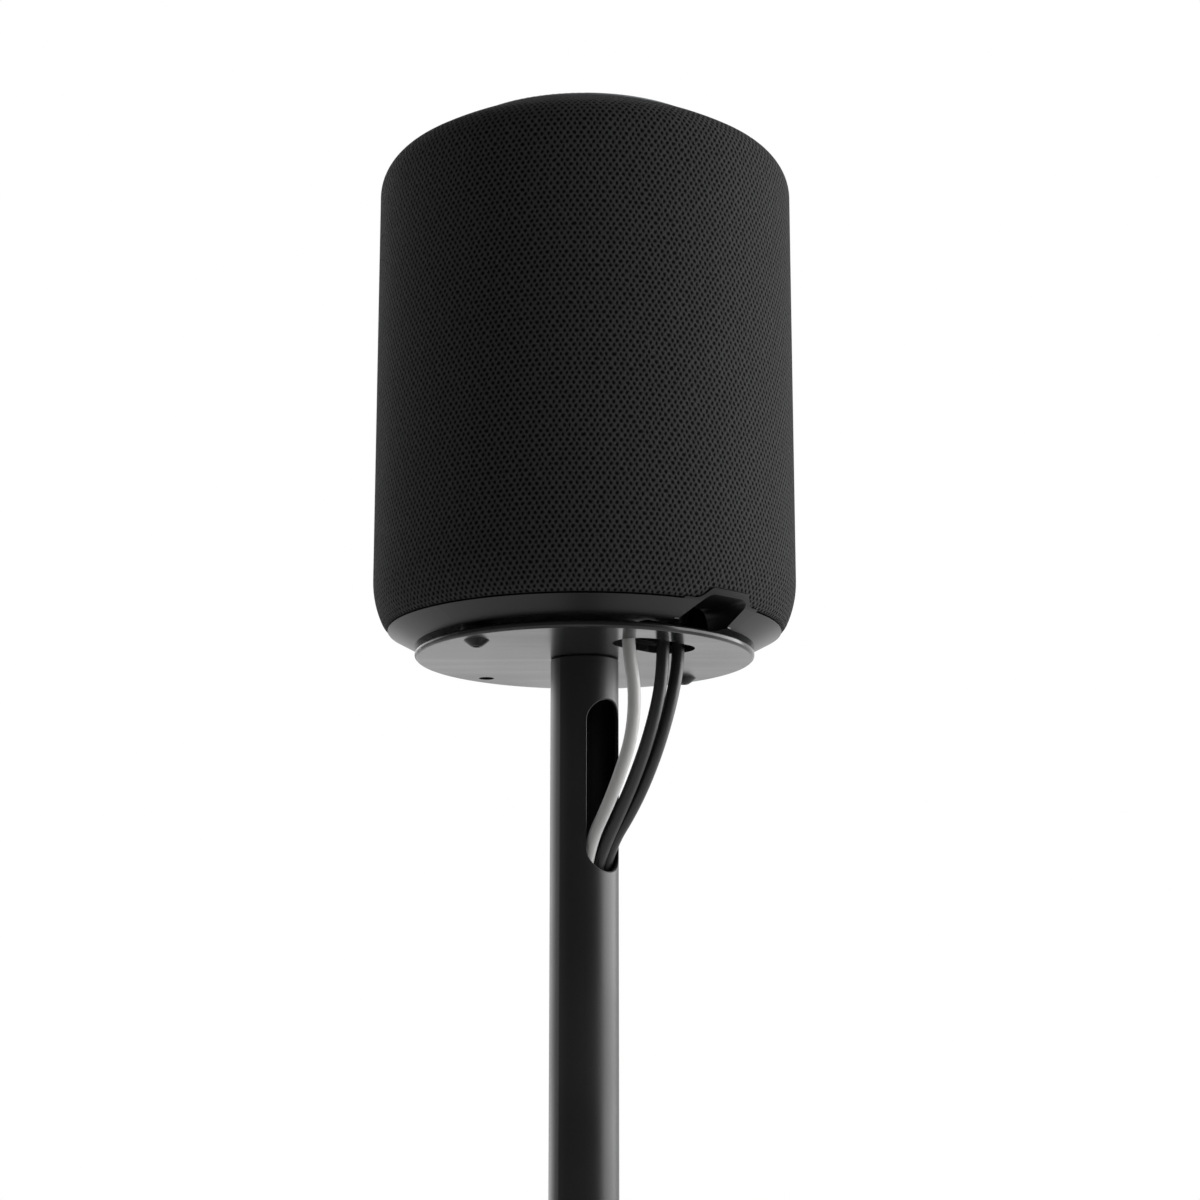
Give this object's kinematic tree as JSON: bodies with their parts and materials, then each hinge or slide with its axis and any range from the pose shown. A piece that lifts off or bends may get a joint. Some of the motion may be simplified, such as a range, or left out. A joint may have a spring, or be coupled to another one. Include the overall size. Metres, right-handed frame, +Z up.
{
  "type": "speaker stand",
  "caption": "Floor stand with a round base, tube pole and round plate that carries a screwed-on cylindrical fabric loudspeaker, its leads led down through the pole.",
  "frame": {"origin": "centre of the base on the floor", "axes": "+Z up along the pole, +Y towards the cable side, so -Y is the front"},
  "size_m": [0.28, 0.4101, 0.9858],
  "materials": {
    "foot_rubber": "moulded",
    "black_powder_coat": "satin powder coat",
    "plate_powder_coat": "semi-gloss powder coat",
    "black_screw": "black oxide",
    "steel": "plain turned",
    "brass": "plain",
    "foot_plastic": "fine satin moulded",
    "cabinet_plastic": "moulded",
    "knit_fabric": "tight knitted mesh",
    "socket_plastic": "moulded",
    "cone_paper": "pressed paper",
    "roll_rubber": "soft",
    "frame_steel": "pressed and painted",
    "ferrite": "ground",
    "circuit_board": "solder mask",
    "aluminium": "extruded",
    "clear_ring": "diffusing",
    "cap_plastic": "satin",
    "button_plastic": "satin",
    "black_sheath": "satin sheath",
    "white_sheath": "satin sheath",
    "black_plug": "moulded",
    "white_plug": "moulded",
    "hook_strap": "hook and loop"
  },
  "bodies": {
    "stand": {"base_feet": "foot_rubber", "base_plate": "black_powder_coat", "base_bolt": "black_screw", "lower_insert": "steel", "pole": "black_powder_coat", "upper_insert": "steel", "top_plate": "plate_powder_coat", "top_bolt": "black_screw", "speaker_screws": "black_screw", "screw_washers": "black_screw", "threaded_inserts": "brass", "speaker_foot": "foot_plastic", "speaker_cabinet": "cabinet_plastic", "speaker_fabric": "knit_fabric", "cabinet_screws": "black_screw", "mains_socket": "socket_plastic", "audio_socket": "socket_plastic", "data_socket": "socket_plastic", "woofer_baffle": "cabinet_plastic", "woofer_frame": "frame_steel", "woofer_cone": "cone_paper", "woofer_surround": "roll_rubber", "woofer_dust_cap": "cone_paper", "woofer_magnet": "ferrite", "board_shelf": "cabinet_plastic", "main_board": "circuit_board", "heat_sink": "aluminium", "power_board": "circuit_board", "light_ring": "clear_ring", "top_cap": "cap_plastic", "button_board": "circuit_board", "button_board_screws": "steel", "mid_driver_left": "cone_paper", "mid_driver_right": "cone_paper", "mid_driver_front": "cone_paper", "tweeter": "cone_paper", "mains_lead_plug": "black_plug", "mains_lead": "black_sheath", "mains_coil": "black_sheath", "mains_tail": "black_sheath", "mains_far_plug": "black_plug", "mains_tie": "hook_strap", "audio_lead_plug": "black_plug", "audio_lead": "black_sheath", "audio_coil": "black_sheath", "audio_tail": "black_sheath", "audio_far_plug": "black_plug", "audio_tie": "hook_strap", "data_lead_plug": "white_plug", "data_lead": "white_sheath", "data_coil": "white_sheath", "data_tail": "white_sheath", "data_far_plug": "white_plug", "data_tie": "hook_strap"},
    "volume_up_button": {"volume_up_button": "button_plastic"},
    "action_button": {"action_button": "button_plastic"},
    "volume_down_button": {"volume_down_button": "button_plastic"},
    "mute_button": {"mute_button": "button_plastic"}
  },
  "joints": [
    {"name": "volume_up_press", "type": "slide", "parent": "stand", "child": "volume_up_button", "axis": [0, 0, -1], "range_m": [0, 0.0006], "stiffness_N_per_m": 1500, "springref_m": -0.0003},
    {"name": "action_press", "type": "slide", "parent": "stand", "child": "action_button", "axis": [0, 0, -1], "range_m": [0, 0.0006], "stiffness_N_per_m": 1500, "springref_m": -0.0003},
    {"name": "volume_down_press", "type": "slide", "parent": "stand", "child": "volume_down_button", "axis": [0, 0, -1], "range_m": [0, 0.0006], "stiffness_N_per_m": 1500, "springref_m": -0.0003},
    {"name": "mute_press", "type": "slide", "parent": "stand", "child": "mute_button", "axis": [0, 0, -1], "range_m": [0, 0.0006], "stiffness_N_per_m": 1500, "springref_m": -0.0003}
  ]
}
